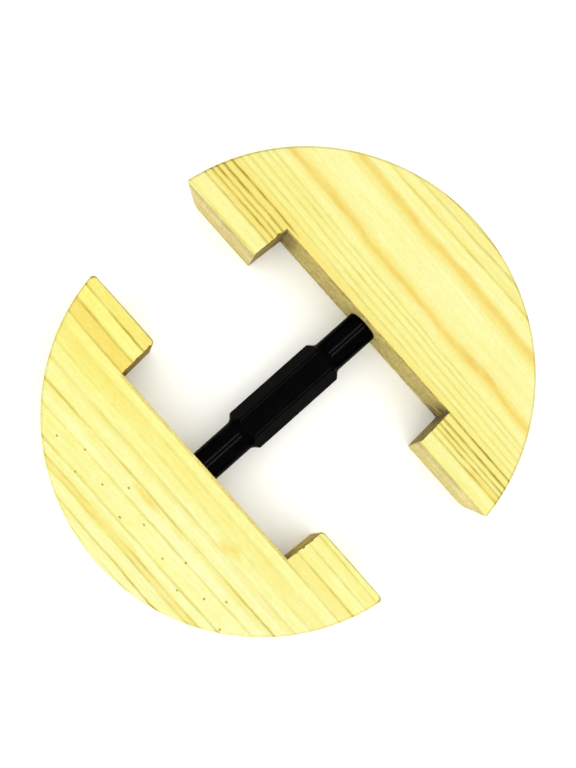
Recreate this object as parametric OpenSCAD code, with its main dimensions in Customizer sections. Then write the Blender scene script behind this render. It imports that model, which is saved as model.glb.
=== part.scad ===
// Hat stretcher: two notched pine halves pushed apart by a hex turnbuckle on
// a right-hand and a left-hand threaded rod. Drawn fully closed, in
// millimetres. X runs along the rods, Y from leg to leg, Z up.

/* [Wooden halves] */
// Radius of the wide half's curved rim at its top edge
wide_radius = 80.8; // [72:0.2:95]
// Radius of the narrow half's curved rim at its top edge
narrow_radius = 77.6; // [72:0.2:95]
// How far the rim's centre lies behind the ends of the legs
centre_setback = 11.4; // [6:0.2:18]
// Thickness of the boards
thickness = 23; // [18:0.5:30]
// How much smaller the rim's radius is at the bottom than at the top
rim_taper = 6.4; // [2:0.2:9]
// Rounding of the rim's bottom edge
rim_bottom_round = 4; // [1:0.5:7]
// Rounding of the rim's top edge
rim_top_round = 0.8; // [0.4:0.1:2]
// Rounding of the upright edges at the wide half's legs
wide_leg_round = 0.5; // [0.3:0.1:3]
// Rounding of the upright edges at the narrow half's legs
narrow_leg_round = 1.6; // [0.3:0.1:3]

/* [Notches] */
// Depth of the wide half's notch, from the leg ends to its back wall
wide_notch_depth = 15; // [10:0.1:22]
// Depth of the narrow half's notch, from the leg ends to its back wall
narrow_notch_depth = 15.8; // [10:0.1:22]
// Width of the notch at its back wall
notch_width = 86.2; // [70:0.2:100]
// How much each side wall opens out towards the mouth
notch_flare = 0.9; // [0.2:0.1:3]

/* [Turnbuckle] */
// Length of the turnbuckle
turnbuckle_length = 77; // [64:0.5:100]
// Width of the hexagon across its flats
hex_across_flats = 14.5; // [13.5:0.5:17]
// Length of the hexagon along its corners
hex_length = 36.8; // [24:0.2:44]
// Diameter of the round ends
end_diameter = 12.2; // [11:0.1:13]
// Radius of the hollow where a round end meets its shoulder
shoulder_hollow = 3; // [0.5:0.25:4]
// Chamfer round the outer edge of each end
end_chamfer = 0.3; // [0.2:0.1:1]
// Depth of the countersink at each end of the bore
bore_countersink = 0.6; // [0.2:0.1:1.2]
// Gap between the turnbuckle and each notch wall when closed
closed_gap = 0.3; // [0.2:0.1:2]

/* [Rods] */
// Outside diameter of the rods' threads
rod_diameter = 8; // [6:0.5:9]
// Radial running clearance round the rods
rod_clearance = 0.05; // [0.02:0.01:0.1]
// Space between the rods' ends inside the closed turnbuckle
rod_end_space = 1.5; // [0.5:0.5:6]
// Depth that each rod reaches into its half
rod_anchor_depth = 30; // [22:0.5:38]
// Chamfer at the rods' ends
rod_chamfer = 1; // [0.4:0.1:1.6]

/* [Inserts] */
// Outside diameter of the threaded inserts
insert_diameter = 11.5; // [11:0.1:14]
// Length of the threaded inserts
insert_length = 18; // [10:0.5:21]
// Radial clearance of the inserts in the wood
insert_clearance = 0.03; // [0.01:0.01:0.1]
// Chamfer at the mouth of each insert
insert_chamfer = 0.5; // [0.2:0.1:1]
// Radial clearance of the drilled hole beyond the insert
pilot_clearance = 0.2; // [0.1:0.05:0.5]
// Depth of the drilled hole beyond the rod's end
pilot_end_space = 1; // [0.5:0.5:4]

/* [Hidden] */
$fn = 96;
arc_steps = 8;
overcut = 1;
hex_sides = 6;

pine = [0.88, 0.76, 0.45];
black_paint = [0.05, 0.05, 0.05];
zinc = [0.72, 0.73, 0.74];

// Places along X, counted from the middle of the turnbuckle
notch_x = turnbuckle_length / 2 + closed_gap;
axis_z = thickness / 2;
rod_start = rod_end_space / 2;
rod_length = notch_x + rod_anchor_depth - rod_start;

// The rim leans in by this angle towards the bottom
taper_angle = atan(rim_taper / thickness);

// The origin is the middle of the whole, so the unequal halves sit off it
middle_x = (narrow_radius - narrow_notch_depth - wide_radius + wide_notch_depth) / 2;

hex_corner_radius = hex_across_flats / 2 / cos(180 / hex_sides);
end_radius = end_diameter / 2;
bore_radius = rod_diameter / 2 + rod_clearance;
insert_hole_radius = insert_diameter / 2 + insert_clearance;
pilot_radius = rod_diameter / 2 + pilot_clearance;

// Points on an arc about centre, from angle a to angle b
function arc(centre, radius, a, b) = [
    for (i = [0 : arc_steps])
        let (t = a + (b - a) * i / arc_steps)
        centre + radius * [cos(t), sin(t)]
];

// Centre of a rounding that touches the leaning rim, at height z
function rim_round_centre(rim_radius, round, z) = [
    rim_radius - (thickness - z) * tan(taper_angle) - round / cos(taper_angle), z
];

// Unit vector at an angle in the plane
function direction(angle) = [cos(angle), sin(angle)];

// Side profile of the whole disc that a half is cut from
module rim_profile(rim_radius) {
    bottom = rim_round_centre(rim_radius, rim_bottom_round, rim_bottom_round);
    top = rim_round_centre(rim_radius, rim_top_round, thickness - rim_top_round);
    polygon(concat(
        [[0, 0]],
        arc(bottom, rim_bottom_round, -90, -taper_angle),
        arc(top, rim_top_round, -taper_angle, 90),
        [[0, thickness]]
    ));
}

// What a rounding takes off a corner whose sides leave it at angles a and b
module corner_waste(round, a, b) {
    half_angle = (b - a) / 2;
    inward = direction((a + b) / 2);
    reach = round / tan(half_angle);
    difference() {
        polygon([
            reach * direction(a),
            reach * direction(b),
            reach * direction(b) + overcut * direction(b + 90),
            -2 * overcut * inward,
            reach * direction(a) + overcut * direction(a - 90)
        ]);
        translate(round / sin(half_angle) * inward)
            circle(round);
    }
}

// Waste along the upright edges of one leg, on the +Y side
module leg_edge_waste(rim_radius, notch_depth, leg_round) {
    leg_x = notch_x - notch_depth;
    side_angle = atan(notch_flare / notch_depth);
    translate([leg_x, notch_width / 2 + notch_flare, -overcut])
        linear_extrude(thickness + 2 * overcut)
            corner_waste(leg_round, -side_angle, 90);

    // The outer edge leans with the rim, so its waste leans too
    tip_y = sqrt(pow(rim_radius, 2) - pow(centre_setback, 2));
    low_y = sqrt(pow(rim_radius - rim_taper, 2) - pow(centre_setback, 2));
    rim_angle = atan(centre_setback / tip_y);
    translate([leg_x, low_y, 0])
        rotate([-atan((tip_y - low_y) / thickness), 0, 0])
            translate([0, 0, -thickness / 2])
                linear_extrude(2 * thickness)
                    corner_waste(leg_round, -90, -rim_angle);
}

// Tapering notch between the legs
module notch(notch_depth) {
    leg_x = notch_x - notch_depth;
    mouth = notch_width / 2 + notch_flare * (1 + overcut / notch_depth);
    translate([0, 0, -overcut])
        linear_extrude(thickness + 2 * overcut)
            polygon([
                [leg_x - overcut, -mouth],
                [notch_x, -notch_width / 2],
                [notch_x, notch_width / 2],
                [leg_x - overcut, mouth]
            ]);
}

// Turns a shape drawn along Z to lie along X on the rods' axis, from x
module along_rod(x) {
    translate([x, 0, axis_z])
        rotate([0, 90, 0])
            children();
}

// Stepped hole for an insert and the rod's end
module rod_hole() {
    along_rod(notch_x - overcut)
        cylinder(r = insert_hole_radius, h = overcut + insert_length);
    along_rod(notch_x)
        cylinder(r = pilot_radius, h = rod_anchor_depth + pilot_end_space);
}

// One half block, on the +X side, with the grain along Y
module half_block(rim_radius, notch_depth, leg_round) {
    leg_x = notch_x - notch_depth;
    color(pine)
        difference() {
            intersection() {
                translate([leg_x - centre_setback, 0, 0])
                    rotate_extrude()
                        rim_profile(rim_radius);
                translate([leg_x, -rim_radius, 0])
                    cube([centre_setback + rim_radius, 2 * rim_radius, thickness]);
            }
            notch(notch_depth);
            for (side = [0, 1])
                mirror([0, side, 0])
                    leg_edge_waste(rim_radius, notch_depth, leg_round);
            rod_hole();
        }
}

// Outline of a turned end: 45 degree shoulder, hollow, round end and chamfer
function turned_end() =
    let (
        hollow_r = end_radius + shoulder_hollow * (1 - cos(45)),
        hollow_x = hex_length / 2 + hex_corner_radius - hollow_r + shoulder_hollow * sin(45)
    )
    concat(
        [[hex_corner_radius + overcut, hex_length / 2 - overcut]],
        arc([end_radius + shoulder_hollow, hollow_x], shoulder_hollow, -135, -180),
        [
            [end_radius, turnbuckle_length / 2 - end_chamfer],
            [end_radius - end_chamfer, turnbuckle_length / 2]
        ]
    );

// Turned outline of the whole turnbuckle, the same at both ends
module turned_profile() {
    outline = turned_end();
    last = len(outline) - 1;
    polygon(concat(
        [[0, -turnbuckle_length / 2]],
        [for (i = [last : -1 : 0]) [outline[i].x, -outline[i].y]],
        outline,
        [[0, turnbuckle_length / 2]]
    ));
}

// Hex bar turned down at both ends and bored through, one flat facing up
module turnbuckle() {
    color(black_paint)
        translate([middle_x, 0, 0])
            difference() {
                intersection() {
                    along_rod(0)
                        rotate_extrude()
                            turned_profile();
                    along_rod(-turnbuckle_length / 2)
                        rotate([0, 0, 180 / hex_sides])
                            cylinder(r = hex_corner_radius, h = turnbuckle_length, $fn = hex_sides);
                }
                along_rod(-turnbuckle_length / 2 - overcut)
                    cylinder(r = bore_radius, h = turnbuckle_length + 2 * overcut);
                for (side = [0, 1])
                    mirror([side, 0, 0])
                        along_rod(turnbuckle_length / 2 - bore_countersink)
                            cylinder(
                                r1 = bore_radius,
                                r2 = bore_radius + 2 * bore_countersink,
                                h = 2 * bore_countersink
                            );
            }
}

// Threaded rod at its outside diameter, on the +X side, both ends chamfered
module rod() {
    radius = rod_diameter / 2;
    color(zinc)
        along_rod(rod_start)
            rotate_extrude()
                polygon([
                    [0, 0],
                    [radius - rod_chamfer, 0],
                    [radius, rod_chamfer],
                    [radius, rod_length - rod_chamfer],
                    [radius - rod_chamfer, rod_length],
                    [0, rod_length]
                ]);
}

// Threaded insert, flush with the notch wall on the +X side
module insert() {
    radius = insert_diameter / 2;
    color(zinc)
        along_rod(notch_x)
            rotate_extrude()
                polygon([
                    [bore_radius + insert_chamfer, 0],
                    [radius, 0],
                    [radius, insert_length],
                    [bore_radius, insert_length],
                    [bore_radius, insert_chamfer]
                ]);
}

module wide_half() {
    translate([middle_x, 0, 0])
        half_block(wide_radius, wide_notch_depth, wide_leg_round);
}

module narrow_half() {
    translate([middle_x, 0, 0])
        mirror([1, 0, 0])
            half_block(narrow_radius, narrow_notch_depth, narrow_leg_round);
}

module right_hand_rod() {
    translate([middle_x, 0, 0])
        rod();
}

module left_hand_rod() {
    translate([middle_x, 0, 0])
        mirror([1, 0, 0])
            rod();
}

module wide_half_insert() {
    translate([middle_x, 0, 0])
        insert();
}

module narrow_half_insert() {
    translate([middle_x, 0, 0])
        mirror([1, 0, 0])
            insert();
}

wide_half();
narrow_half();
turnbuckle();
right_hand_rod();
left_hand_rod();
wide_half_insert();
narrow_half_insert();
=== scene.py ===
"""Looks of a wooden hat stretcher: two grained pine halves, a black turnbuckle and two threaded rods.

The frame's X runs along the rods towards the wide half, Y from leg to leg and Z up. Lengths are in metres,
apart from the wood's grain and names that end in _MM, which are in millimetres.
"""

import math
from collections import namedtuple

import bmesh
import bpy
from mathutils import Matrix, Vector, noise


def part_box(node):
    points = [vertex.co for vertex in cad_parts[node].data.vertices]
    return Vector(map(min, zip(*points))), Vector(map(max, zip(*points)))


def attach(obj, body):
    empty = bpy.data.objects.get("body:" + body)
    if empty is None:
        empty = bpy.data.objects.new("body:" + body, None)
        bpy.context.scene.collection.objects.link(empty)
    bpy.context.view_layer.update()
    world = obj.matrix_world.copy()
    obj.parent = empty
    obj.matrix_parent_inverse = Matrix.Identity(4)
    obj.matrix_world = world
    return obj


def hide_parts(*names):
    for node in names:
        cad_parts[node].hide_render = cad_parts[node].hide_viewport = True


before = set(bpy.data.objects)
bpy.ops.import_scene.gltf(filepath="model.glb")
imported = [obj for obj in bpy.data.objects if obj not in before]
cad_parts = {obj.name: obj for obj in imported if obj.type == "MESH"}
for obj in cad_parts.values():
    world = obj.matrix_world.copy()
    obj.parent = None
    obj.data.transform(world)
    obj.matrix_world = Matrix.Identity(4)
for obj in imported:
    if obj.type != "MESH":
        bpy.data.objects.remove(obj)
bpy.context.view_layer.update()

MM = 0.001

# Sizes read from the frame, with places along the rods counted from the turnbuckle's middle
buckle_low, buckle_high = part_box("turnbuckle")
wide_low, wide_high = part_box("wide_half")
narrow_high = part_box("narrow_half")[1]
rod_low, rod_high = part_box("right_hand_rod")
insert_low, insert_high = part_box("wide_half_insert")
MIDDLE_X = (buckle_low.x + buckle_high.x) / 2
AXIS_Z = (buckle_low.z + buckle_high.z) / 2
BUCKLE_LENGTH = buckle_high.x - buckle_low.x
HEX_FLATS = buckle_high.z - buckle_low.z
THICKNESS = wide_high.z
LEG_X = {"wide_half": wide_low.x - MIDDLE_X, "narrow_half": MIDDLE_X - narrow_high.x}
NOTCH_X = insert_low.x - MIDDLE_X
INSERT_END = insert_high.x - MIDDLE_X
INSERT_RADIUS = (insert_high.z - insert_low.z) / 2
ROD_START = rod_low.x - MIDDLE_X
ROD_END = rod_high.x - MIDDLE_X
ROD_RADIUS = (rod_high.z - rod_low.z) / 2

# Sizes of the wooden halves, whose rims are sanded a hair inside the frame's
SIDE = {"wide_half": 1, "narrow_half": -1}
SANDED_OFF = 0.03 * MM
RIM_RADIUS = {"wide_half": 80.8 * MM - SANDED_OFF, "narrow_half": 77.6 * MM - SANDED_OFF}
CENTRE_SETBACK = 11.4 * MM
RIM_TAPER = 6.4 * MM
TAPER_ANGLE = math.atan(RIM_TAPER / THICKNESS)
BOTTOM_ROUND = 4 * MM
TOP_ROUND = 0.8 * MM
LEG_EDGE_ROUND = {"wide_half": 0.5 * MM, "narrow_half": 1.6 * MM}
NOTCH_HALF_WIDTH = 43.1 * MM
NOTCH_FLARE = 0.9 * MM
EASED_EDGE = 0.35 * MM
CAP_BORDER = 0.8 * MM

# Sizes of the drilled holes
INSERT_CLEARANCE = 0.03 * MM
PILOT_CLEARANCE = 0.2 * MM
PILOT_END_SPACE = 1 * MM
HOLE_STEP = 0.01 * MM
OVERCUT = 3 * MM

# Torn top edges of the notch: the size of the tears in each wall, the most that any gets, how far down
# they reach, and the lengths of the coarse and the fine ones. A side wall's leg is 1 at +Y and -1 at -Y.
BACK_WALL_TEAR = {"wide_half": 0.1 * MM, "narrow_half": 0.05 * MM}
SIDE_WALL_TEAR = {
    ("wide_half", 1): 0.5 * MM,
    ("wide_half", -1): 0.12 * MM,
    ("narrow_half", 1): 0.35 * MM,
    ("narrow_half", -1): 0.6 * MM,
}
TEAR_LIMIT = 0.9 * MM
TEAR_REACH = 2 * MM
COARSE_TEAR = 1.9 * MM
FINE_TEAR = 0.7 * MM
FINE_TEAR_SHARE = 0.7
TEAR_SHIFT = 0.25

# Where in the noise each wall's tears come from
BACK_WALL_SEED = 3.7
SIDE_WALL_SEED = 11.1
LEG_SEED = 3.7
COARSE_SEED = 0.5
FINE_SEED = 7.5

# Pits in the narrow half's top face, as places out from the frame's middle and along the board
PIT_RADIUS = 0.8 * MM
PIT_DEPTH = 0.45 * MM
PIT_STRETCH = 1.35
PIT_PLACES_MM = [
    (72, 42), (68, 32), (75.5, 28.5), (71.5, 19), (65.5, 12), (74.5, 6.5), (70, -1),
    (73, -14), (68, -20.5), (76.5, -25.5), (71.5, -34), (66.5, -40), (74.5, -45.5),
]

# Sizes of the metal
HEX_ANGLE = math.pi / 3
HEX_LENGTH = 36.8 * MM
HEX_CORNER_RADIUS = HEX_FLATS / 2 / math.cos(HEX_ANGLE / 2)
HEX_CORNER_WORN = 0.12 * MM
HEX_EDGE_EASE = 0.12 * MM
BUCKLE_END_RADIUS = 6.1 * MM
SHOULDER_ANGLE = math.pi / 4
SHOULDER_HOLLOW = 3 * MM
END_CHAMFER = 0.3 * MM
BORE_CLEARANCE = 0.05 * MM
BORE_RADIUS = ROD_RADIUS + BORE_CLEARANCE
COUNTERSINK = 0.6 * MM
THREAD_PITCH = 1.25 * MM
THREAD_DEPTH = 0.77 * MM
ROD_CHAMFER = 1 * MM

# Shares of half a pitch where a thread's flank leaves the crest and reaches the root
FLANK_START = 0.15
FLANK_END = 0.85

# How finely the meshes are divided
BOTTOM_ROUND_STEPS = 7
RIM_HEIGHT_STEPS = 12
TOP_ROUND_STEPS = 5
BACK_WALL_STEPS = 170
SIDE_WALL_STEPS = 44
LEG_EDGE_STEPS = 6
LEG_END_STEPS = 34
RIM_STEPS = 110
HOLE_STEPS = 64
PIT_STEPS = 12
BUCKLE_STEPS = 180
ROD_STEPS = 40
RINGS_PER_PITCH = 12

# The turnbuckle's hexagon, shoulder, round end and chamfer, as (start from its middle, rings)
BUCKLE_STRETCHES = [(0, 10), (14 * MM, 60), (24.5 * MM, 10), (BUCKLE_LENGTH / 2 - END_CHAMFER, 4)]

# Edges sharper than these angles, in degrees, stay sharp
SHARP_ANGLE = 35
SHARP_THREAD_ANGLE = 50

# The camera, fitted to the photograph's edges
CAMERA_PLACE = Vector((-99.6, 6.55, 664.7)) * MM
CAMERA_TARGET = Vector((2.18, 2.18, 11.5)) * MM
CAMERA_ROLL = math.radians(50.83)
CAMERA_LENS = 86.57
CAMERA_SENSOR = 36.0

# The studio: white light from all round, stronger from one side, and lamps as (place, size, power)
Lamp = namedtuple("Lamp", "place size power")
LIGHT_STRENGTH = 1.28
STRONGER_SIDE = (-0.7, -0.7, 0)
STRONGER_BY = 0.45
FLOOR_SIZE = 3.0
FLOOR_WHITE = (0.95, 0.955, 0.92, 1)
FLOOR_ROUGHNESS = 0.9
FLOOR_LAMP = Lamp((0.0, 0.1, 1.5), (5.0, 5.0), 28)
TURNBUCKLE_LAMPS = {
    "left_strip": Lamp((0.3, 0.47, 2.0), (1.0, 0.14), 32),
    "right_strip": Lamp((0.3, -0.45, 2.0), (1.0, 0.14), 32),
}

# Faces of a half take one of these material slots, and their top edges may take another
SANDED, SAWN_ALONG, SAWN_ACROSS, LEG_END, RIM, RIM_EDGE, LEG_EDGE, WORN_EDGE, PIT = range(9)
EDGE_OF = {
    "wide_half": {LEG_END: LEG_EDGE, RIM: RIM_EDGE},
    "narrow_half": {LEG_END: LEG_EDGE, RIM: RIM_EDGE, SAWN_ALONG: WORN_EDGE},
}


# Meshes

def new_piece(name, shape):
    """A new object in the scene with the mesh of a shape, which is freed."""
    mesh = bpy.data.meshes.new(name)
    shape.to_mesh(mesh)
    shape.free()
    piece = bpy.data.objects.new(name, mesh)
    bpy.context.scene.collection.objects.link(piece)
    return piece


def skin(name, rings, joined=False):
    """An object whose faces run from ring to ring of points, joined end to end or capped at both ends."""
    shape = bmesh.new()
    loops = [[shape.verts.new(point) for point in ring] for ring in rings]
    pairs = list(zip(loops, loops[1:]))
    if joined:
        pairs.append((loops[-1], loops[0]))
    for lower, upper in pairs:
        for i in range(len(lower)):
            j = (i + 1) % len(lower)
            shape.faces.new((lower[i], lower[j], upper[j], upper[i]))
    if not joined:
        caps = [shape.faces.new(loops[0]), shape.faces.new(loops[-1])]
        shape.normal_update()
        bmesh.ops.triangulate(shape, faces=caps, ngon_method="EAR_CLIP")
    bmesh.ops.recalc_face_normals(shape, faces=shape.faces)
    return new_piece(name, shape)


def shade_smooth(piece, sharp_angle):
    """Smooth shading that breaks at edges sharper than an angle in degrees."""
    piece.data.shade_smooth()
    piece.data.set_sharp_from_angle(angle=math.radians(sharp_angle))


def cut(piece, cutter):
    """Takes the cutter out of the piece, and the cutter out of the scene."""
    modifier = piece.modifiers.new("cut", "BOOLEAN")
    modifier.operation = "DIFFERENCE"
    modifier.solver = "EXACT"
    modifier.object = cutter
    evaluated = piece.evaluated_get(bpy.context.evaluated_depsgraph_get())
    result = bpy.data.meshes.new_from_object(evaluated)
    piece.modifiers.remove(modifier)
    piece.data = result
    bpy.data.objects.remove(cutter)


def spaced(start, end, count):
    """Values from start up to, but not including, end."""
    return [start + (end - start) * i / count for i in range(count)]


def about_x(x, radius, turn):
    """A point at a radius from the rods' axis, turned from straight up."""
    return Vector((x, radius * math.sin(turn), AXIS_Z + radius * math.cos(turn)))


def round_about_x(x, radius, steps):
    """A ring of points about the rods' axis."""
    return [about_x(x, radius, turn) for turn in spaced(0, 2 * math.pi, steps)]


def rim_levels(rim_radius):
    """Height, rim radius and wall inset at each level of a half, from the bottom to the top."""
    def leaning_radius(z):
        return rim_radius - (THICKNESS - z) * math.tan(TAPER_ANGLE)

    def round_centre(round_radius, z):
        return leaning_radius(z) - round_radius / math.cos(TAPER_ANGLE)

    def wall_inset(z):
        near_edge = max(EASED_EDGE - min(z, THICKNESS - z), 0)
        return EASED_EDGE - math.sqrt(EASED_EDGE ** 2 - near_edge ** 2)

    bottom_centre = round_centre(BOTTOM_ROUND, BOTTOM_ROUND)
    top_centre = round_centre(TOP_ROUND, THICKNESS - TOP_ROUND)
    profile = []
    for t in spaced(-math.pi / 2, -TAPER_ANGLE, BOTTOM_ROUND_STEPS) + [-TAPER_ANGLE]:
        profile.append((BOTTOM_ROUND * (1 + math.sin(t)), bottom_centre + BOTTOM_ROUND * math.cos(t)))
    low_z = profile[-1][0]
    high_z = THICKNESS - TOP_ROUND + TOP_ROUND * math.sin(-TAPER_ANGLE)
    profile += [(z, leaning_radius(z)) for z in spaced(low_z, high_z, RIM_HEIGHT_STEPS)[1:]]
    for t in spaced(-TAPER_ANGLE, math.pi / 2, TOP_ROUND_STEPS) + [math.pi / 2]:
        profile.append((THICKNESS - TOP_ROUND * (1 - math.sin(t)), top_centre + TOP_ROUND * math.cos(t)))
    levels = [(z, radius, wall_inset(z)) for z, radius in profile]
    borders = [(z, radius - CAP_BORDER, inset + CAP_BORDER) for z, radius, inset in (levels[0], levels[-1])]
    return borders[:1] + levels + borders[1:]


def rounded_corner(corner, before, after, radius):
    """Points on an arc that rounds a corner, where before and after are the directions of its two sides."""
    half_angle = before.angle(after) / 2
    reach = radius / math.tan(half_angle)
    centre = corner + (before + after).normalized() * radius / math.sin(half_angle)
    start = corner + before * reach - centre
    end = corner + after * reach - centre
    return [centre + start.slerp(end, i / LEG_EDGE_STEPS) * radius for i in range(LEG_EDGE_STEPS + 1)]


def half_outline(name, rim_radius, inset):
    """The +Y side of a half at one height: (x, y, wall), from the notch's back wall round to the rim."""
    corner = Vector((NOTCH_X + inset, NOTCH_HALF_WIDTH + inset))
    mouth = Vector((LEG_X[name] + inset, NOTCH_HALF_WIDTH + NOTCH_FLARE + inset))
    setback = CENTRE_SETBACK + inset
    tip = Vector((LEG_X[name] + inset, math.sqrt(rim_radius ** 2 - setback ** 2)))
    rim_centre_x = LEG_X[name] - CENTRE_SETBACK
    tip_angle = math.atan2(tip.y, setback)
    to_corner = (corner - mouth).normalized()
    along_rim = Vector((math.sin(tip_angle), -math.cos(tip_angle)))
    mouth_arc = rounded_corner(mouth, to_corner, Vector((0, 1)), LEG_EDGE_ROUND[name])
    tip_arc = rounded_corner(tip, Vector((0, -1)), along_rim, LEG_EDGE_ROUND[name])
    rim_start = math.atan2(tip_arc[-1].y, tip_arc[-1].x - rim_centre_x)

    outline = [(corner.x, y, SAWN_ALONG) for y in spaced(0, corner.y, BACK_WALL_STEPS)]
    for t in spaced(0, 1, SIDE_WALL_STEPS):
        point = corner.lerp(mouth_arc[0], t)
        outline.append((point.x, point.y, SAWN_ACROSS))
    outline += [(p.x, p.y, LEG_END) for p in mouth_arc[:-1]]
    for y in spaced(mouth_arc[-1].y, tip_arc[0].y, LEG_END_STEPS):
        outline.append((mouth_arc[-1].x, y, LEG_END))
    outline += [(p.x, p.y, LEG_END) for p in tip_arc[:-1]]
    for angle in spaced(rim_start, 0, RIM_STEPS) + [0]:
        x = rim_centre_x + rim_radius * math.cos(angle)
        outline.append((x, rim_radius * math.sin(angle), RIM))
    return outline


def torn_edge(along, z, size, seed):
    """How far the saw has torn a notch wall back, deepest at the top edge."""
    coarse = noise.noise(Vector((along / COARSE_TEAR, seed, COARSE_SEED)))
    fine = noise.noise(Vector((along / FINE_TEAR, seed, FINE_SEED)))
    depth = max(coarse + FINE_TEAR_SHARE * fine + TEAR_SHIFT, 0) * size
    return min(depth * math.exp((z - THICKNESS) / TEAR_REACH), TEAR_LIMIT)


def half_rings(name):
    """Rings of points round a half, from the bottom cap to the top cap."""
    side = SIDE[name]
    rings = []
    for z, rim_radius, inset in rim_levels(RIM_RADIUS[name]):
        ring = {1: [], -1: []}
        for leg in (1, -1):
            side_seed = side * SIDE_WALL_SEED + leg * LEG_SEED
            for x, y, wall in half_outline(name, rim_radius, inset):
                if wall == SAWN_ALONG:
                    x += torn_edge(y * leg, z, BACK_WALL_TEAR[name], side * BACK_WALL_SEED)
                elif wall == SAWN_ACROSS:
                    y += torn_edge(x, z, SIDE_WALL_TEAR[name, leg], side_seed)
                ring[leg].append(Vector((MIDDLE_X + side * x, y * leg, z)))
        rings.append(ring[1] + ring[-1][-2:0:-1])
    return rings


def drilled_hole(side):
    """Stepped hole for an insert and the rod's end, as a solid to cut away."""
    wide = INSERT_RADIUS + INSERT_CLEARANCE
    pilot = ROD_RADIUS + PILOT_CLEARANCE
    profile = [
        (NOTCH_X - OVERCUT, wide),
        (INSERT_END, wide),
        (INSERT_END + HOLE_STEP, pilot),
        (ROD_END + PILOT_END_SPACE, pilot),
    ]
    rings = [round_about_x(MIDDLE_X + side * x, radius, HOLE_STEPS) for x, radius in profile]
    hole = skin("drilled_hole", rings)
    for face in hole.data.polygons:
        face.material_index = SAWN_ACROSS
    return hole


def feed_roller_pits(side):
    """Small pits that a spiked roller left in slanting rows on the top face, as solids to cut away."""
    shape = bmesh.new()
    stretch = Matrix.Scale(PIT_STRETCH, 4, (0, 1, 0))
    for x, y in PIT_PLACES_MM:
        bmesh.ops.create_cone(
            shape,
            segments=PIT_STEPS,
            radius1=0,
            radius2=PIT_RADIUS,
            depth=2 * PIT_DEPTH,
            matrix=Matrix.Translation((side * x * MM, y * MM, THICKNESS)) @ stretch,
            cap_ends=True,
        )
    pits = new_piece("feed_roller_pits", shape)
    for face in pits.data.polygons:
        face.material_index = PIT
    return pits


def mark_finishes(piece, name):
    """Gives each face of a half the slot of the way that it was finished."""
    walls = [wall for _, _, wall in half_outline(name, RIM_RADIUS[name], 0)]
    walls = walls[:-1] + walls[-2::-1]
    # The first and the last row of faces are the caps' borders
    rows = len(rim_levels(RIM_RADIUS[name])) - 1
    edge_of = EDGE_OF[name]
    faces = piece.data.polygons
    for row in range(1, rows - 1):
        for i, wall in enumerate(walls):
            face = faces[row * len(walls) + i]
            on_edge = face.center.z > THICKNESS - TOP_ROUND
            face.material_index = edge_of.get(wall, wall) if on_edge else wall
    for i, wall in enumerate(walls):
        border = faces[(rows - 1) * len(walls) + i]
        if edge_of.get(wall) == WORN_EDGE and abs(border.center.y) < NOTCH_HALF_WIDTH:
            border.material_index = WORN_EDGE


def make_half(name):
    """One wooden half, with a material slot for each way that its faces were finished."""
    piece = skin(name + "_wood", half_rings(name))
    mark_finishes(piece, name)
    for finish in FINISHES:
        piece.data.materials.append(pine(name, finish))
    cut(piece, drilled_hole(SIDE[name]))
    if name == "narrow_half":
        cut(piece, feed_roller_pits(SIDE[name]))
    shade_smooth(piece, SHARP_ANGLE)
    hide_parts(name)
    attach(piece, name)
    return piece


# Nodes of a material

def new_material(name):
    """A new material, its node tree and the tree's shader."""
    material = bpy.data.materials.new(name)
    material.use_nodes = True
    tree = material.node_tree
    return material, tree, tree.nodes["Principled BSDF"]


def node(tree, kind, inputs=(), **settings):
    """A new node. Each input is set to a value, or linked where it is another node's output."""
    made = tree.nodes.new(kind)
    for key, value in settings.items():
        setattr(made, key, value)
    for key, value in dict(inputs).items():
        if isinstance(value, bpy.types.NodeSocket):
            tree.links.new(value, made.inputs[key])
        else:
            made.inputs[key].default_value = value
    return made


def maths(tree, operation, a, b=0.0, c=0.0):
    """Output of a maths node."""
    return node(tree, "ShaderNodeMath", {0: a, 1: b, 2: c}, operation=operation).outputs[0]


def vector_maths(tree, operation, a, b=(0, 0, 0)):
    """A vector maths node, whose first output is a vector and whose second is a number."""
    return node(tree, "ShaderNodeVectorMath", {0: a, 1: b}, operation=operation)


def map_range(tree, value, start, end, low=0.0, high=1.0):
    """A value that runs from low at start to high at end, and stays level beyond them."""
    return node(tree, "ShaderNodeMapRange", {0: value, 1: start, 2: end, 3: low, 4: high}).outputs[0]


def mixed(tree, factor, a, b, blend="MIX"):
    """Output of two colours mixed."""
    made = node(tree, "ShaderNodeMix", {0: factor, 6: a, 7: b}, data_type="RGBA", blend_type=blend)
    return made.outputs[2]


def ramp(tree, factor, stops):
    """Output of a colour ramp with (position, colour) stops."""
    made = node(tree, "ShaderNodeValToRGB", {0: factor})
    elements = made.color_ramp.elements
    while len(elements) < len(stops):
        elements.new(1.0)
    for element, (position, colour) in zip(elements, stops):
        element.position = position
        element.color = colour
    return made.outputs[0]


def curve(tree, place, points):
    """A value that runs straight between points, as (place, value), and stays level beyond them."""
    first, last = points[0][0], points[-1][0]
    position = map_range(tree, place, first, last)
    stops = [((at - first) / (last - first), (value, value, value, 1.0)) for at, value in points]
    return ramp(tree, position, stops)


def noise_at(tree, place, scale, detail):
    """Noise of a scale and detail."""
    inputs = {"Vector": place, "Scale": scale, "Detail": detail}
    return node(tree, "ShaderNodeTexNoise", inputs).outputs["Fac"]


def stretched_noise(tree, place, spacing, detail=2.0):
    """Noise with features of that size in millimetres along each of the place's three lengths."""
    shares = {i: maths(tree, "DIVIDE", length, spacing[i]) for i, length in enumerate(place)}
    return noise_at(tree, node(tree, "ShaderNodeCombineXYZ", shares).outputs[0], 1.0, detail)


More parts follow.
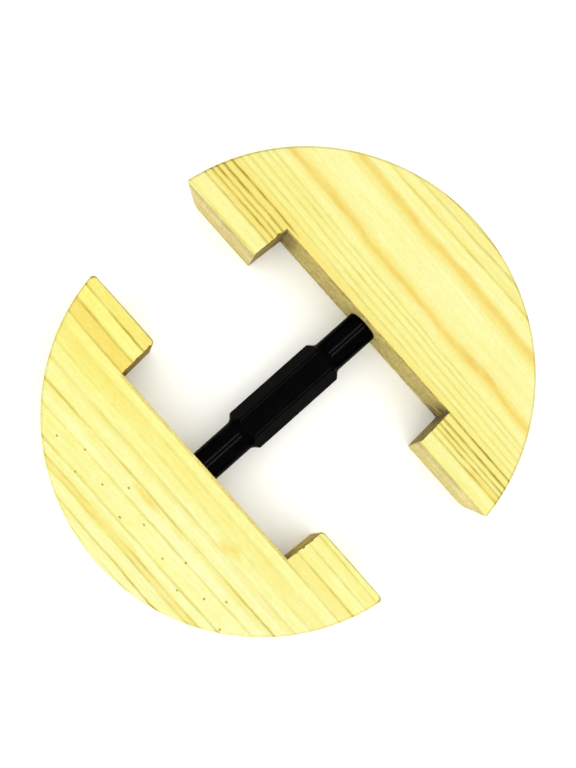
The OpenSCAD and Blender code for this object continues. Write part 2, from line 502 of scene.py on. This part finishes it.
def tinted(tree, colour, factor, dark, light, share):
    """A colour multiplied by a tint that runs from dark to light over the middle of a noise."""
    tint = ramp(tree, factor, [(NOISE_LOW, dark), (NOISE_HIGH, light)])
    return mixed(tree, share, colour, tint, "MULTIPLY")


def dress(tree, shader, colour, roughness):
    """Gives a shader its colour and roughness."""
    tree.links.new(colour, shader.inputs["Base Color"])
    tree.links.new(roughness, shader.inputs["Roughness"])


def emboss(tree, shader, height, strength, distance):
    """Gives a shader the relief of a height."""
    bump = node(tree, "ShaderNodeBump", {"Strength": strength, "Distance": distance, "Height": height})
    tree.links.new(bump.outputs[0], shader.inputs["Normal"])


# The look of the pine

# Growth rings as (place, soft side, sharp side, strength). A place is the distance from the frame's middle.
# The rings of the narrow half's legs fade towards the leg at -Y.
RING_LINES = {
    "wide_half": [
        (22.3, 0.6, 0.5, 0.30), (40.4, 0.8, 0.6, 0.24), (42.8, 0.8, 0.6, 0.22), (45.6, 0.8, 0.6, 0.22),
        (48.2, 0.8, 0.6, 0.18), (50.2, 0.8, 0.6, 0.20), (81.4, 0.8, 0.7, 0.30), (85.9, 0.8, 0.7, 0.35),
        (89.7, 0.7, 0.6, 0.38),
    ],
    "narrow_half": [
        (46.0, 1.0, 0.8, 0.12), (50.8, 0.9, 0.7, 0.15), (55.8, 1.0, 0.8, 0.18), (61.9, 0.7, 0.6, 0.48),
        (68.0, 0.8, 0.6, 0.22), (75.9, 0.8, 0.6, 0.26), (79.7, 0.8, 0.6, 0.32), (81.7, 0.6, 0.5, 0.36),
        (86.3, 0.7, 0.5, 0.50), (89.5, 0.6, 0.5, 0.25),
    ],
}
LEG_LINES = {
    "wide_half": [
        (28.3, 0.8, 0.5, 0.50), (30.6, 0.8, 0.5, 0.62), (32.5, 0.8, 0.5, 0.74), (34.7, 0.9, 0.6, 0.82),
        (37.7, 0.8, 0.5, 0.80),
    ],
    "narrow_half": [
        (26.3, 0.8, 0.5, 0.45), (30.9, 0.8, 0.5, 0.70), (36.0, 0.9, 0.6, 0.62), (41.2, 0.7, 0.5, 0.55),
    ],
}
RINGS_PER_RAMP = 5

# Warm bands between the rings as (start, end, soft side, sharp side, strength)
WARM_BANDS = {
    "wide_half": [
        (55.2, 56.5, 2.4, 3.8, 0.74), (72.9, 75.2, 3.2, 2.0, 0.68), (82.0, 83.2, 0.4, 1.5, 0.20),
        (86.6, 88.6, 0.5, 1.0, 0.25),
    ],
    "narrow_half": [
        (46.6, 49.2, 2.0, 1.6, 0.30), (56.0, 57.0, 0.8, 1.2, 0.20), (62.2, 63.4, 0.5, 1.2, 0.14),
        (79.7, 81.5, 1.0, 0.5, 0.30),
    ],
}
BAND_CORES = {
    "wide_half": [(55.4, 56.2, 0.9, 1.0, 0.44), (73.8, 74.8, 1.1, 0.8, 0.40)],
    "narrow_half": [(80.2, 80.9, 0.6, 0.6, 0.16)],
}
LEG_BANDS = {
    "wide_half": [(29.5, 38.6, 2.5, 2.0, 0.62)],
    "narrow_half": [(26.3, 29.5, 0.8, 1.2, 0.45), (36.2, 40.9, 0.6, 0.6, 0.80)],
}

# Golden blotches as (place, place along the board, half width, half length, strength)
GOLDEN_SPOTS = {
    "wide_half": [(29.0, -76.0, 1.3, 20.0, 1.1)],
    "narrow_half": [
        (53.6, -27.5, 2.8, 6.0, 0.8), (63.4, 5.5, 1.5, 9.0, 0.7), (63.2, -12.0, 1.4, 4.0, 0.4),
        (81.0, 10.0, 1.4, 8.0, 0.4),
    ],
}

# Deeper ones, in the warm bands
DEEP_SPOTS = {
    "wide_half": [
        (56.6, -38.0, 2.0, 13.0, 0.8), (57.0, 43.0, 1.4, 16.0, 0.4), (74.4, -12.0, 1.8, 9.0, 0.5),
    ],
    "narrow_half": [],
}

# How yellow the pale wood is, as (place, share), how much yellower it gets with each millimetre along the
# board, and how much yellower it is under the lines
YELLOWNESS = {
    "wide_half": [
        (21, 0.35), (27, 0.25), (31, 0.60), (39, 0.50), (46, 0.55), (50, 0.42), (54, 0.10), (60, 0.02),
        (70, 0.05), (77, 0.00), (81, 0.40), (84, 0.15), (90, 0.35),
    ],
    "narrow_half": [
        (25, 0.80), (30, 0.60), (35, 0.70), (42, 0.50), (46, 0.65), (50, 0.60), (53, 0.40), (57, 0.35),
        (59, 0.15), (61.5, 0.40), (63.5, 0.30), (65.5, 0.00), (68.5, 0.45), (71.5, 0.25), (75.5, 0.45),
        (77, 0.15), (79.5, 0.55), (82, 0.40), (83.5, 0.08), (86, 0.35), (88.5, 0.08),
    ],
}
YELLOW_TILT = {"wide_half": 0.0, "narrow_half": 0.0035}
LINE_YELLOWNESS = {"wide_half": 1.5, "narrow_half": 0.5}

# How far the rings lean along the board, as (place, lean over 100 mm), and which way, and how far they
# slant inwards with each millimetre down through the board
RING_LEAN = {
    "wide_half": [(24, 0.4), (38, 1.5), (56, 3.9), (76, 3.0), (80, 0.3)],
    "narrow_half": [(24, 2.0), (42, 1.1), (60, 0.3), (75, 0.0)],
}
LEAN_OVER = 100
LEAN_WAY = {"wide_half": -1, "narrow_half": 1}
RING_SLANT = {"wide_half": 0.45, "narrow_half": 0.6}

# How the rings wander, and how much more the bands do, as (size of the noise's features, reach)
RING_WANDERS = [((24.0, 40.0, 30.0), 1.5), ((8.0, 14.0, 8.0), 0.45), ((2.0, 2.2, 2.0), 0.35)]
BAND_WANDER = ((14.0, 17.0, 14.0), 3.2)

# Where along the board the legs' lines fade in, and the share of the legs' lines and bands on the leg at -Y
LEG_LINES_FROM = (37.0, 43.0)
LEG_MIDDLE = 50.0
LINE_FADE = {"wide_half": 1.0, "narrow_half": 0.6}
BAND_FADE = {"wide_half": 0.35, "narrow_half": 0.4}

# How the lines and the bands come and go along the board, by noises as (size of the features, detail)
BREAKS = ((2.5, 6.0, 3.0), 3.0)
PALE_STRETCHES = ((5.0, 20.0, 8.0), 1.0)
LINE_BREAKS = {"wide_half": 1.6, "narrow_half": 3.4}
LINE_STRENGTH = 1.8
LINE_LEAST = 0.1
TICK_STRENGTH = 1.5
BAND_STRENGTH = 2.2
BAND_LEAST = -0.2
LINE_HEIGHT = 0.6

WHITE_WOOD = {"wide_half": (0.81, 0.793, 0.34, 1), "narrow_half": (0.81, 0.828, 0.42, 1)}
YELLOW_WOOD = {"wide_half": (0.80, 0.736, 0.20, 1), "narrow_half": (0.81, 0.773, 0.19, 1)}
LATE_WOOD = {"wide_half": (0.30, 0.222, 0.014, 1), "narrow_half": (0.42, 0.285, 0.010, 1)}
BAND_WOOD = (0.785, 0.625, 0.128, 1)
CORE_WOOD = (0.70, 0.46, 0.065, 1)
# Dark brown of burnt, torn fibres at the top edges, partly painted shade, and painted shade down the leg
# ends and in the notch's inner corners
TORN_FIBRES_AND_SHADE = (0.10, 0.065, 0.018, 1)

# The end grain's colour, its full share, and how far a face turns along the board where the share grows
END_GRAIN = {"wide_half": (0.27, 0.18, 0.055, 1), "narrow_half": (0.48, 0.325, 0.035, 1)}
END_GRAIN_SHARE = {"wide_half": 0.55, "narrow_half": 0.75}
END_GRAIN_TURN = (0.35, 0.95)

# Fine variations of the board's colour: the size of a noise's features across the grain, along it and
# through the board, the noise's detail, and the tints of its dark and light parts with their share
Texture = namedtuple("Texture", "spacing detail dark light share")
FIBRES = Texture((0.3, 4.0, 0.4), 3.0, (0.95, 0.945, 0.88, 1), (1.01, 1.01, 1.03, 1), 0.7)
STREAKS = Texture((1.1, 45.0, 2.0), 3.0, (0.95, 0.945, 0.86, 1), (1.01, 1.015, 1.08, 1), 0.75)
PATCHES = Texture((5.0, 35.0, 8.0), 1.0, (0.99, 0.97, 0.88, 1), (1.0, 1.01, 1.10, 1), 0.8)
FLECKS = Texture((0.6, 1.6, 0.8), 2.0, (0.96, 0.95, 0.91, 1), (1.01, 1.01, 1.03, 1), 0.8)
FAINT_MOTTLE = Texture((1.5, 5.0, 2.0), 2.0, (1.0, 0.95, 0.80, 1), (1.0, 1.01, 1.04, 1), 0.25)
MOTTLE = {"wide_half": FAINT_MOTTLE, "narrow_half": FAINT_MOTTLE._replace(share=0.7)}

# Where in a noise its dark part ends and its light part starts
NOISE_LOW = 0.34
NOISE_HIGH = 0.66

# Finish of each material slot. Share is the tint's share, ticks strengthens the rings, and burn darkens the
# top edge, down to reach in millimetres, with burnt, torn fibres and painted shade; on the leg ends it is
# painted shade.
Finish = namedtuple("Finish", "name tint share speckle saw ticks burn reach roughness relief")
FINISHES = [
    Finish("sanded", (1, 1, 1, 1), 0.0, 0.0, 0.0, 0.0, 0.0, 0, 0.5, 0.15),
    Finish("sawn_along", (0.44, 0.335, 0.12, 1), 0.66, 0.75, 0.25, 0.0, 0.2, 3, 0.8, 0.6),
    Finish("sawn_across", (0.20, 0.135, 0.04, 1), 0.62, 0.7, 0.3, 0.0, 0.6, 3, 0.85, 0.7),
    Finish("leg_end", (0.61, 0.50, 0.225, 1), 0.66, 0.6, 0.25, 0.0, 0.32, 9, 0.6, 0.4),
    Finish("rim", (0.66, 0.56, 0.22, 1), 0.35, 0.3, 0.1, 0.3, 0.0, 0, 0.55, 0.3),
    # rim_edge and leg_edge darken the rounded top edges with painted shade; on the rim this adds to its
    # darker end grain
    Finish("rim_edge", (0.30, 0.24, 0.09, 1), 0.30, 0.3, 0.0, 1.0, 0.0, 0, 0.6, 0.3),
    Finish("leg_edge", (0.24, 0.19, 0.06, 1), 0.50, 0.4, 0.0, 0.5, 0.0, 0, 0.6, 0.3),
    Finish("worn_edge", (0.60, 0.38, 0.07, 1), 0.45, 0.5, 0.0, 0.0, 0.0, 0, 0.6, 0.3),
    Finish("pit", (0.40, 0.33, 0.10, 1), 0.70, 0.3, 0.0, 0.0, 0.0, 0, 0.8, 0.3),
]

# The tint's share where it isn't the finish's own: on the notch's side walls at -Y and +Y, and on the edges
SIDE_SHARES = {("narrow_half", "sawn_across"): (0.04, 0.72)}
# On the edges the tint is painted shade
EDGE_SHARE = {
    ("wide_half", "leg_edge"): 0.05,
    ("narrow_half", "rim_edge"): 0.12,
    ("narrow_half", "leg_edge"): 0.70,
}

# Roughly cut faces: the noises of their patches, speckles and saw marks as (size of the features, detail),
# the tints that the last two give, and how strong the painted shade in the notch's inner corners is, and
# how far from them
TINT_PATCHES = ((4.0, 4.0, 4.0), 3.0)
SPECKLES = ((0.6, 0.6, 0.6), 3.0)
SAW_MARKS = ((0.9, 16.0, 14.0), 2.0)
ROUGH_DARK = (0.70, 0.66, 0.58, 1)
ROUGH_LIGHT = (1.18, 1.18, 1.2, 1)
CORNER_SHADE = 0.75
CORNER_SHADE_REACH = 7.0

PINE_GLOSS = 0.25
PINE_ROUGHNESS_SPREAD = 0.1
PINE_RELIEF = 0.2 * MM


def ring_mask(tree, place, rings):
    """Strength of a list of rings or bands, in groups because one ramp can't hold them all sharply."""
    total = 0.0
    for first in range(0, len(rings), RINGS_PER_RAMP):
        points = []
        for *places, soft, sharp, strength in rings[first:first + RINGS_PER_RAMP]:
            points.append((places[0] - soft, 0.0))
            points += [(at, strength) for at in places]
            points.append((places[-1] + sharp, 0.0))
        total = maths(tree, "MAXIMUM", total, curve(tree, place, points))
    return total


def blotches(tree, spots, place, y):
    """Strength of a list of blotches, each strongest in its middle."""
    total = 0.0
    for middle, along, half_width, half_length, strength in spots:
        sideways = maths(tree, "DIVIDE", maths(tree, "SUBTRACT", place, middle), half_width)
        lengthways = maths(tree, "DIVIDE", maths(tree, "SUBTRACT", y, along), half_length)
        squared = maths(tree, "MULTIPLY", lengthways, lengthways)
        squared = maths(tree, "MULTIPLY_ADD", sideways, sideways, squared)
        total = maths(tree, "MAXIMUM", total, map_range(tree, squared, 0.0, 1.0, strength, 0.0))
    return total


def wandered(tree, across, place, spacing, reach):
    """A place across the grain, moved by a noise of that spacing and reach in millimetres."""
    wander = maths(tree, "SUBTRACT", stretched_noise(tree, place, spacing), 0.5)
    return maths(tree, "MULTIPLY_ADD", wander, reach, across)


def grain_place(tree, half):
    """The place in millimetres, and the place across the grain, which leans, slants and wanders."""
    place = node(tree, "ShaderNodeTexCoord").outputs["Object"]
    place = vector_maths(tree, "MULTIPLY", place, (1 / MM, 1 / MM, 1 / MM)).outputs[0]
    x, y, z = node(tree, "ShaderNodeSeparateXYZ", {0: place}).outputs
    outward = maths(tree, "MULTIPLY", x, float(SIDE[half]))
    lean = maths(tree, "MULTIPLY", curve(tree, outward, RING_LEAN[half]), y)
    across = maths(tree, "MULTIPLY_ADD", lean, LEAN_WAY[half] / LEAN_OVER, outward)
    depth = maths(tree, "SUBTRACT", THICKNESS / MM, z)
    across = maths(tree, "MULTIPLY_ADD", depth, RING_SLANT[half], across)
    for spacing, reach in RING_WANDERS:
        across = wandered(tree, across, (outward, y, z), spacing, reach)
    return (x, y, z), across


def fade_along(tree, y, share):
    """A strength that runs along the board, from a share at the leg at -Y to all at the other leg."""
    return map_range(tree, y, -LEG_MIDDLE, LEG_MIDDLE, share, 1.0)


def band_strengths(tree, half, grain, breaks):
    """Strength of the warm bands and golden blotches, and of the deeper colour in their cores."""
    across, y, _ = grain
    lumpy = wandered(tree, across, grain, *BAND_WANDER)
    uneven = maths(tree, "MULTIPLY_ADD", breaks, BAND_STRENGTH, BAND_LEAST)
    in_legs = ring_mask(tree, across, LEG_BANDS[half])
    in_legs = maths(tree, "MULTIPLY", in_legs, fade_along(tree, y, BAND_FADE[half]))
    bands = maths(tree, "MAXIMUM", ring_mask(tree, lumpy, WARM_BANDS[half]), in_legs)
    golden = maths(tree, "MULTIPLY", blotches(tree, GOLDEN_SPOTS[half], across, y), uneven)
    bands = maths(tree, "MAXIMUM", bands, golden)
    deepest = blotches(tree, DEEP_SPOTS[half], lumpy, y)
    cores = maths(tree, "MAXIMUM", ring_mask(tree, lumpy, BAND_CORES[half]), deepest)
    return bands, maths(tree, "MULTIPLY", cores, uneven)


def line_strength(tree, half, grain, breaks, ticks):
    """Strength of the dark rings, which come and go along the board."""
    across, y, _ = grain
    in_legs = map_range(tree, maths(tree, "ABSOLUTE", y), *LEG_LINES_FROM)
    in_legs = maths(tree, "MULTIPLY", fade_along(tree, y, LINE_FADE[half]), in_legs)
    in_legs = maths(tree, "MULTIPLY", ring_mask(tree, across, LEG_LINES[half]), in_legs)
    lines = maths(tree, "MAXIMUM", ring_mask(tree, across, RING_LINES[half]), in_legs)
    broken = maths(tree, "MULTIPLY_ADD", breaks, LINE_STRENGTH + TICK_STRENGTH * ticks, LINE_LEAST)
    paled = stretched_noise(tree, grain, *PALE_STRETCHES)
    paled = maths(tree, "MULTIPLY_ADD", paled, LINE_BREAKS[half], 1 - LINE_BREAKS[half] / 2)
    broken = maths(tree, "MULTIPLY", broken, paled)
    product = node(tree, "ShaderNodeMath", {0: lines, 1: broken}, operation="MULTIPLY", use_clamp=True)
    return product.outputs[0]


def board_colour(tree, half, grain, ticks):
    """Colour and height of the sanded board, where grain is the place across it, along it and up."""
    across, y, _ = grain
    breaks = stretched_noise(tree, grain, *BREAKS)
    bands, cores = band_strengths(tree, half, grain, breaks)
    lines = line_strength(tree, half, grain, breaks, ticks)
    yellowness = maths(tree, "MULTIPLY_ADD", y, YELLOW_TILT[half], curve(tree, across, YELLOWNESS[half]))
    yellowness = maths(tree, "MULTIPLY_ADD", lines, LINE_YELLOWNESS[half], yellowness)
    colour = mixed(tree, yellowness, WHITE_WOOD[half], YELLOW_WOOD[half])
    colour = mixed(tree, bands, colour, BAND_WOOD)
    colour = mixed(tree, cores, colour, CORE_WOOD)
    colour = mixed(tree, lines, colour, LATE_WOOD[half])
    for texture in (STREAKS, PATCHES, FLECKS, MOTTLE[half]):
        factor = stretched_noise(tree, grain, texture.spacing, texture.detail)
        colour = tinted(tree, colour, factor, texture.dark, texture.light, texture.share)
    fibres = stretched_noise(tree, grain, FIBRES.spacing, FIBRES.detail)
    colour = tinted(tree, colour, fibres, FIBRES.dark, FIBRES.light, FIBRES.share)
    return colour, maths(tree, "MULTIPLY_ADD", lines, LINE_HEIGHT, fibres)


def darkening_by_burn_and_shade(tree, half, finish, place):
    """How much the wood is darkened: at the top edge by burnt, torn fibres and painted shade, and in the
    notch's inner corners by painted shade.
    """
    x, y, z = place
    top = THICKNESS / MM
    # Darker towards the top edge: torn fibres and painted shade, and on the leg ends painted shade alone
    near_top = maths(tree, "MULTIPLY", map_range(tree, z, top - finish.reach, top), finish.burn)
    back_wall = (SIDE[half] * NOTCH_X + MIDDLE_X) / MM
    from_back = maths(tree, "ABSOLUTE", maths(tree, "SUBTRACT", x, back_wall))
    from_side = maths(tree, "SUBTRACT", NOTCH_HALF_WIDTH / MM, maths(tree, "ABSOLUTE", y))
    from_corner = maths(tree, "ADD", from_back, maths(tree, "ABSOLUTE", from_side))
    # Painted shade in the notch's inner corners
    near_corner = map_range(tree, from_corner, 0.0, CORNER_SHADE_REACH, CORNER_SHADE, 0.0)
    return maths(tree, "MAXIMUM", near_top, near_corner)


def finished(tree, colour, height, half, finish, place):
    """The board's colour and height under the finish of one face: end grain, tint, saw marks, burns and
    painted shade.
    """
    x, y, z = place
    normal = node(tree, "ShaderNodeNewGeometry").outputs["True Normal"]
    along_grain = maths(tree, "ABSOLUTE", node(tree, "ShaderNodeSeparateXYZ", {0: normal}).outputs[1])
    end_share = map_range(tree, along_grain, *END_GRAIN_TURN, high=END_GRAIN_SHARE[half])
    colour = mixed(tree, end_share, colour, END_GRAIN[half])

    # A noise is 0.5 on average, so what it multiplies is doubled
    patches = maths(tree, "MULTIPLY", stretched_noise(tree, place, *TINT_PATCHES), 2.0)
    low_side, high_side = SIDE_SHARES.get((half, finish.name), (finish.share, finish.share))
    share = map_range(tree, y, -1.0, 1.0, low_side, high_side)
    colour = mixed(tree, maths(tree, "MULTIPLY", patches, share), colour, finish.tint)

    speckle = stretched_noise(tree, place, *SPECKLES)
    along_saw = (maths(tree, "ADD", x, y), z, maths(tree, "SUBTRACT", x, y))
    saw_marks = stretched_noise(tree, along_saw, *SAW_MARKS)
    colour = tinted(tree, colour, speckle, ROUGH_DARK, ROUGH_LIGHT, finish.speckle)
    colour = tinted(tree, colour, saw_marks, ROUGH_DARK, ROUGH_LIGHT, finish.saw)
    # Burnt, torn fibres and painted shade, in one dark brown
    if finish.burn:
        burn = maths(tree, "MULTIPLY", patches, darkening_by_burn_and_shade(tree, half, finish, place))
        colour = mixed(tree, burn, colour, TORN_FIBRES_AND_SHADE)
    height = maths(tree, "MULTIPLY_ADD", speckle, 2 * finish.speckle, height)
    return colour, maths(tree, "MULTIPLY_ADD", saw_marks, 2 * finish.saw, height)


def pine(half, finish):
    """Pine cut from one board: the same growth rings on every face, under the finish of that face."""
    finish = finish._replace(share=EDGE_SHARE.get((half, finish.name), finish.share))
    material, tree, shader = new_material(half + "_" + finish.name)
    place, across = grain_place(tree, half)
    colour, height = board_colour(tree, half, (across, *place[1:]), finish.ticks)
    if finish.share:
        colour, height = finished(tree, colour, height, half, finish, place)
    smoothest = finish.roughness - PINE_ROUGHNESS_SPREAD / 2
    dress(tree, shader, colour, maths(tree, "MULTIPLY_ADD", height, PINE_ROUGHNESS_SPREAD, smoothest))
    shader.inputs["Specular IOR Level"].default_value = PINE_GLOSS
    emboss(tree, shader, height, finish.relief, PINE_RELIEF)
    return material


# The look of the metal

# Colours as (position in a noise, colour), and noises as (scale per metre, detail)
BLACK_STOPS = [(0.3, (0.0002, 0.0002, 0.0002, 1)), (0.7, (0.0007, 0.0007, 0.0008, 1))]
BLACK_GRAIN = (2200.0, 3.0)
BLACK_BLOTCHES = (160.0, 2.0)
BLACK_ROUGHNESS = 0.1
BLACK_ROUGHNESS_SPREAD = 0.12
BLACK_GLOSS = 0.008
BLACK_RELIEF = 0.05 * MM
BLACK_RELIEF_STRENGTH = 0.08
ZINC_STOPS = [(0.3, (0.42, 0.43, 0.45, 1)), (0.7, (0.58, 0.59, 0.6, 1))]
ZINC_CLOUDS = (240.0, 4.0)
ZINC_ROUGHNESS = 0.22
ZINC_ROUGHNESS_SPREAD = 0.25
GREASE = (0.05, 0.05, 0.055, 1)
GREASE_SHARE = 0.75


def black_coating():
    """Semi-gloss black coating with a fine uneven surface."""
    material, tree, shader = new_material("black_coating")
    place = node(tree, "ShaderNodeTexCoord").outputs["Object"]
    grain = noise_at(tree, place, *BLACK_GRAIN)
    blotch = noise_at(tree, place, *BLACK_BLOTCHES)
    rough = maths(tree, "MULTIPLY_ADD", grain, BLACK_ROUGHNESS_SPREAD, BLACK_ROUGHNESS)
    dress(tree, shader, ramp(tree, blotch, BLACK_STOPS), rough)
    shader.inputs["Specular IOR Level"].default_value = BLACK_GLOSS
    emboss(tree, shader, grain, BLACK_RELIEF_STRENGTH, BLACK_RELIEF)
    return material


def zinc_plate():
    """Zinc-plated steel, a little cloudy, with dark grease left in the roots of the thread."""
    material, tree, shader = new_material("zinc_plate")
    place = node(tree, "ShaderNodeTexCoord").outputs["Object"]
    cloud = noise_at(tree, place, *ZINC_CLOUDS)
    from_axis = vector_maths(tree, "SUBTRACT", place, (0, 0, AXIS_Z)).outputs[0]
    from_axis = vector_maths(tree, "MULTIPLY", from_axis, (0, 1, 1)).outputs[0]
    radius = vector_maths(tree, "LENGTH", from_axis).outputs["Value"]
    in_root = map_range(tree, radius, ROD_RADIUS - THREAD_DEPTH, ROD_RADIUS, GREASE_SHARE, 0.0)
    colour = mixed(tree, in_root, ramp(tree, cloud, ZINC_STOPS), GREASE)
    dress(tree, shader, colour, maths(tree, "MULTIPLY_ADD", cloud, ZINC_ROUGHNESS_SPREAD, ZINC_ROUGHNESS))
    shader.inputs["Metallic"].default_value = 1.0
    return material


# Metal pieces

def soft_minimum(a, b, ease):
    """The smaller of two lengths, eased where they are nearly the same."""
    share = max(ease - abs(a - b), 0) / ease
    return min(a, b) - share * share * ease / 4


def turned_radius(x):
    """Radius that the turning leaves at a distance from the turnbuckle's middle."""
    hollow_start_r = BUCKLE_END_RADIUS + SHOULDER_HOLLOW * (1 - math.cos(SHOULDER_ANGLE))
    hollow_start_x = HEX_LENGTH / 2 + HEX_CORNER_RADIUS - hollow_start_r
    hollow_end_x = hollow_start_x + SHOULDER_HOLLOW * math.sin(SHOULDER_ANGLE)
    if x < hollow_start_x:
        return HEX_CORNER_RADIUS + HEX_LENGTH / 2 - x
    if x < hollow_end_x:
        rise = SHOULDER_HOLLOW - math.sqrt(SHOULDER_HOLLOW ** 2 - (hollow_end_x - x) ** 2)
        return BUCKLE_END_RADIUS + rise
    return min(BUCKLE_END_RADIUS, BUCKLE_END_RADIUS - END_CHAMFER + BUCKLE_LENGTH / 2 - x)


def hex_radius(turn):
    """Radius of the hexagon, with worn corners, at an angle from one flat's middle."""
    from_flat = (turn + HEX_ANGLE / 2) % HEX_ANGLE - HEX_ANGLE / 2
    flat = HEX_FLATS / 2 / math.cos(from_flat)
    return soft_minimum(flat, HEX_CORNER_RADIUS - HEX_CORNER_WORN, HEX_EDGE_EASE)


def make_turnbuckle():
    """Hex bar turned down at both ends and bored through, with its edges eased."""
    stations = []
    ends = [start for start, _ in BUCKLE_STRETCHES[1:]] + [BUCKLE_LENGTH / 2]
    for (start, count), end in zip(BUCKLE_STRETCHES, ends):
        stations += spaced(start, end, count)
    stations.append(BUCKLE_LENGTH / 2)
    stations = [-x for x in stations[:0:-1]] + stations
    rings = []
    for x in stations:
        ring = []
        for turn in spaced(0, 2 * math.pi, BUCKLE_STEPS):
            radius = soft_minimum(hex_radius(turn), turned_radius(abs(x)), HEX_EDGE_EASE)
            ring.append(about_x(MIDDLE_X + x, radius, turn))
        rings.append(ring)
    bore_end = BUCKLE_LENGTH / 2
    bore = [(bore_end, BORE_RADIUS + COUNTERSINK), (bore_end - COUNTERSINK, BORE_RADIUS)]
    bore += [(-x, radius) for x, radius in reversed(bore)]
    rings += [round_about_x(MIDDLE_X + x, radius, BUCKLE_STEPS) for x, radius in bore]
    piece = skin("turnbuckle_sleeve", rings, joined=True)
    piece.data.materials.append(black_coating())
    shade_smooth(piece, SHARP_ANGLE)
    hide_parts("turnbuckle")
    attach(piece, "turnbuckle")
    return piece


def thread_height(phase):
    """Height of a screw thread, from 0 at its root to 1 at its crest, over one pitch."""
    from_crest = abs((phase % 1.0) - 0.5) * 2
    return min(max((FLANK_END - from_crest) / (FLANK_END - FLANK_START), 0), 1)


def make_rod(node_name, body, hand, material):
    """Threaded rod, where hand is 1 for the right-hand thread at +X and -1 for the left-hand one at -X."""
    count = round((ROD_END - ROD_START) / THREAD_PITCH * RINGS_PER_PITCH)
    rings = []
    for x in spaced(ROD_START, ROD_END, count) + [ROD_END]:
        chamfer = ROD_RADIUS - ROD_CHAMFER + min(x - ROD_START, ROD_END - x)
        ring = []
        for i, turn in enumerate(spaced(0, 2 * math.pi, ROD_STEPS)):
            phase = hand * (x / THREAD_PITCH + i / ROD_STEPS)
            radius = ROD_RADIUS - THREAD_DEPTH * (1 - thread_height(phase))
            ring.append(about_x(MIDDLE_X + hand * x, min(radius, chamfer), turn))
        rings.append(ring)
    piece = skin(node_name + "_thread", rings)
    piece.data.materials.append(material)
    shade_smooth(piece, SHARP_THREAD_ANGLE)
    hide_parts(node_name)
    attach(piece, body)
    return piece


# The scene

def make_camera():
    """The photograph's view."""
    camera = bpy.data.objects.new("camera", bpy.data.cameras.new("camera"))
    camera.data.lens = CAMERA_LENS
    camera.data.sensor_width = CAMERA_SENSOR
    look = (CAMERA_TARGET - CAMERA_PLACE).to_track_quat("-Z", "Y").to_matrix().to_4x4()
    roll = Matrix.Rotation(CAMERA_ROLL, 4, "Z")
    camera.matrix_world = Matrix.Translation(CAMERA_PLACE) @ look @ roll
    bpy.context.scene.collection.objects.link(camera)
    bpy.context.scene.camera = camera


def make_floor():
    """Plain white floor."""
    shape = bmesh.new()
    bmesh.ops.create_grid(shape, x_segments=1, y_segments=1, size=FLOOR_SIZE)
    floor = new_piece("floor", shape)
    material, _, shader = new_material("floor_white")
    shader.inputs["Base Color"].default_value = FLOOR_WHITE
    shader.inputs["Roughness"].default_value = FLOOR_ROUGHNESS
    shader.inputs["Specular IOR Level"].default_value = 0.0
    floor.data.materials.append(material)
    return floor


def make_world():
    """White light from all round, a little stronger from the side towards the viewer."""
    world = bpy.data.worlds.new("studio")
    bpy.context.scene.world = world
    world.use_nodes = True
    tree = world.node_tree
    direction = node(tree, "ShaderNodeTexCoord").outputs["Generated"]
    towards = vector_maths(tree, "DOT_PRODUCT", direction, STRONGER_SIDE).outputs["Value"]
    strength = maths(tree, "MULTIPLY_ADD", towards, STRONGER_BY, LIGHT_STRENGTH)
    tree.links.new(strength, tree.nodes["Background"].inputs["Strength"])
    tree.nodes["Background"].inputs["Color"].default_value = (1, 1, 1, 1)
    bpy.context.scene.view_settings.view_transform = "Standard"


def make_lamp(name, lamp, receiver, blockers=()):
    """A lamp that points down and lights one object alone, shaded by the blockers alone if given."""
    data = bpy.data.lights.new(name, "AREA")
    data.shape = "RECTANGLE"
    data.size, data.size_y = lamp.size
    data.energy = lamp.power
    light = bpy.data.objects.new(name, data)
    light.location = lamp.place
    bpy.context.scene.collection.objects.link(light)
    lit = bpy.data.collections.new(name + "_lights")
    lit.objects.link(receiver)
    light.light_linking.receiver_collection = lit
    if blockers:
        shading = bpy.data.collections.new(name + "_shadows")
        for blocker in blockers:
            shading.objects.link(blocker)
        light.light_linking.blocker_collection = shading


make_camera()
make_world()
floor = make_floor()
zinc = zinc_plate()
halves = [make_half(half) for half in SIDE]
make_lamp("floor_lamp", FLOOR_LAMP, floor, halves)
turnbuckle = make_turnbuckle()
for strip, lamp in TURNBUCKLE_LAMPS.items():
    make_lamp(strip, lamp, turnbuckle)
make_rod("right_hand_rod", "wide_half", 1, zinc)
make_rod("left_hand_rod", "narrow_half", -1, zinc)
for insert in ("wide_half_insert", "narrow_half_insert"):
    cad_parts[insert].data.materials.clear()
    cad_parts[insert].data.materials.append(zinc)
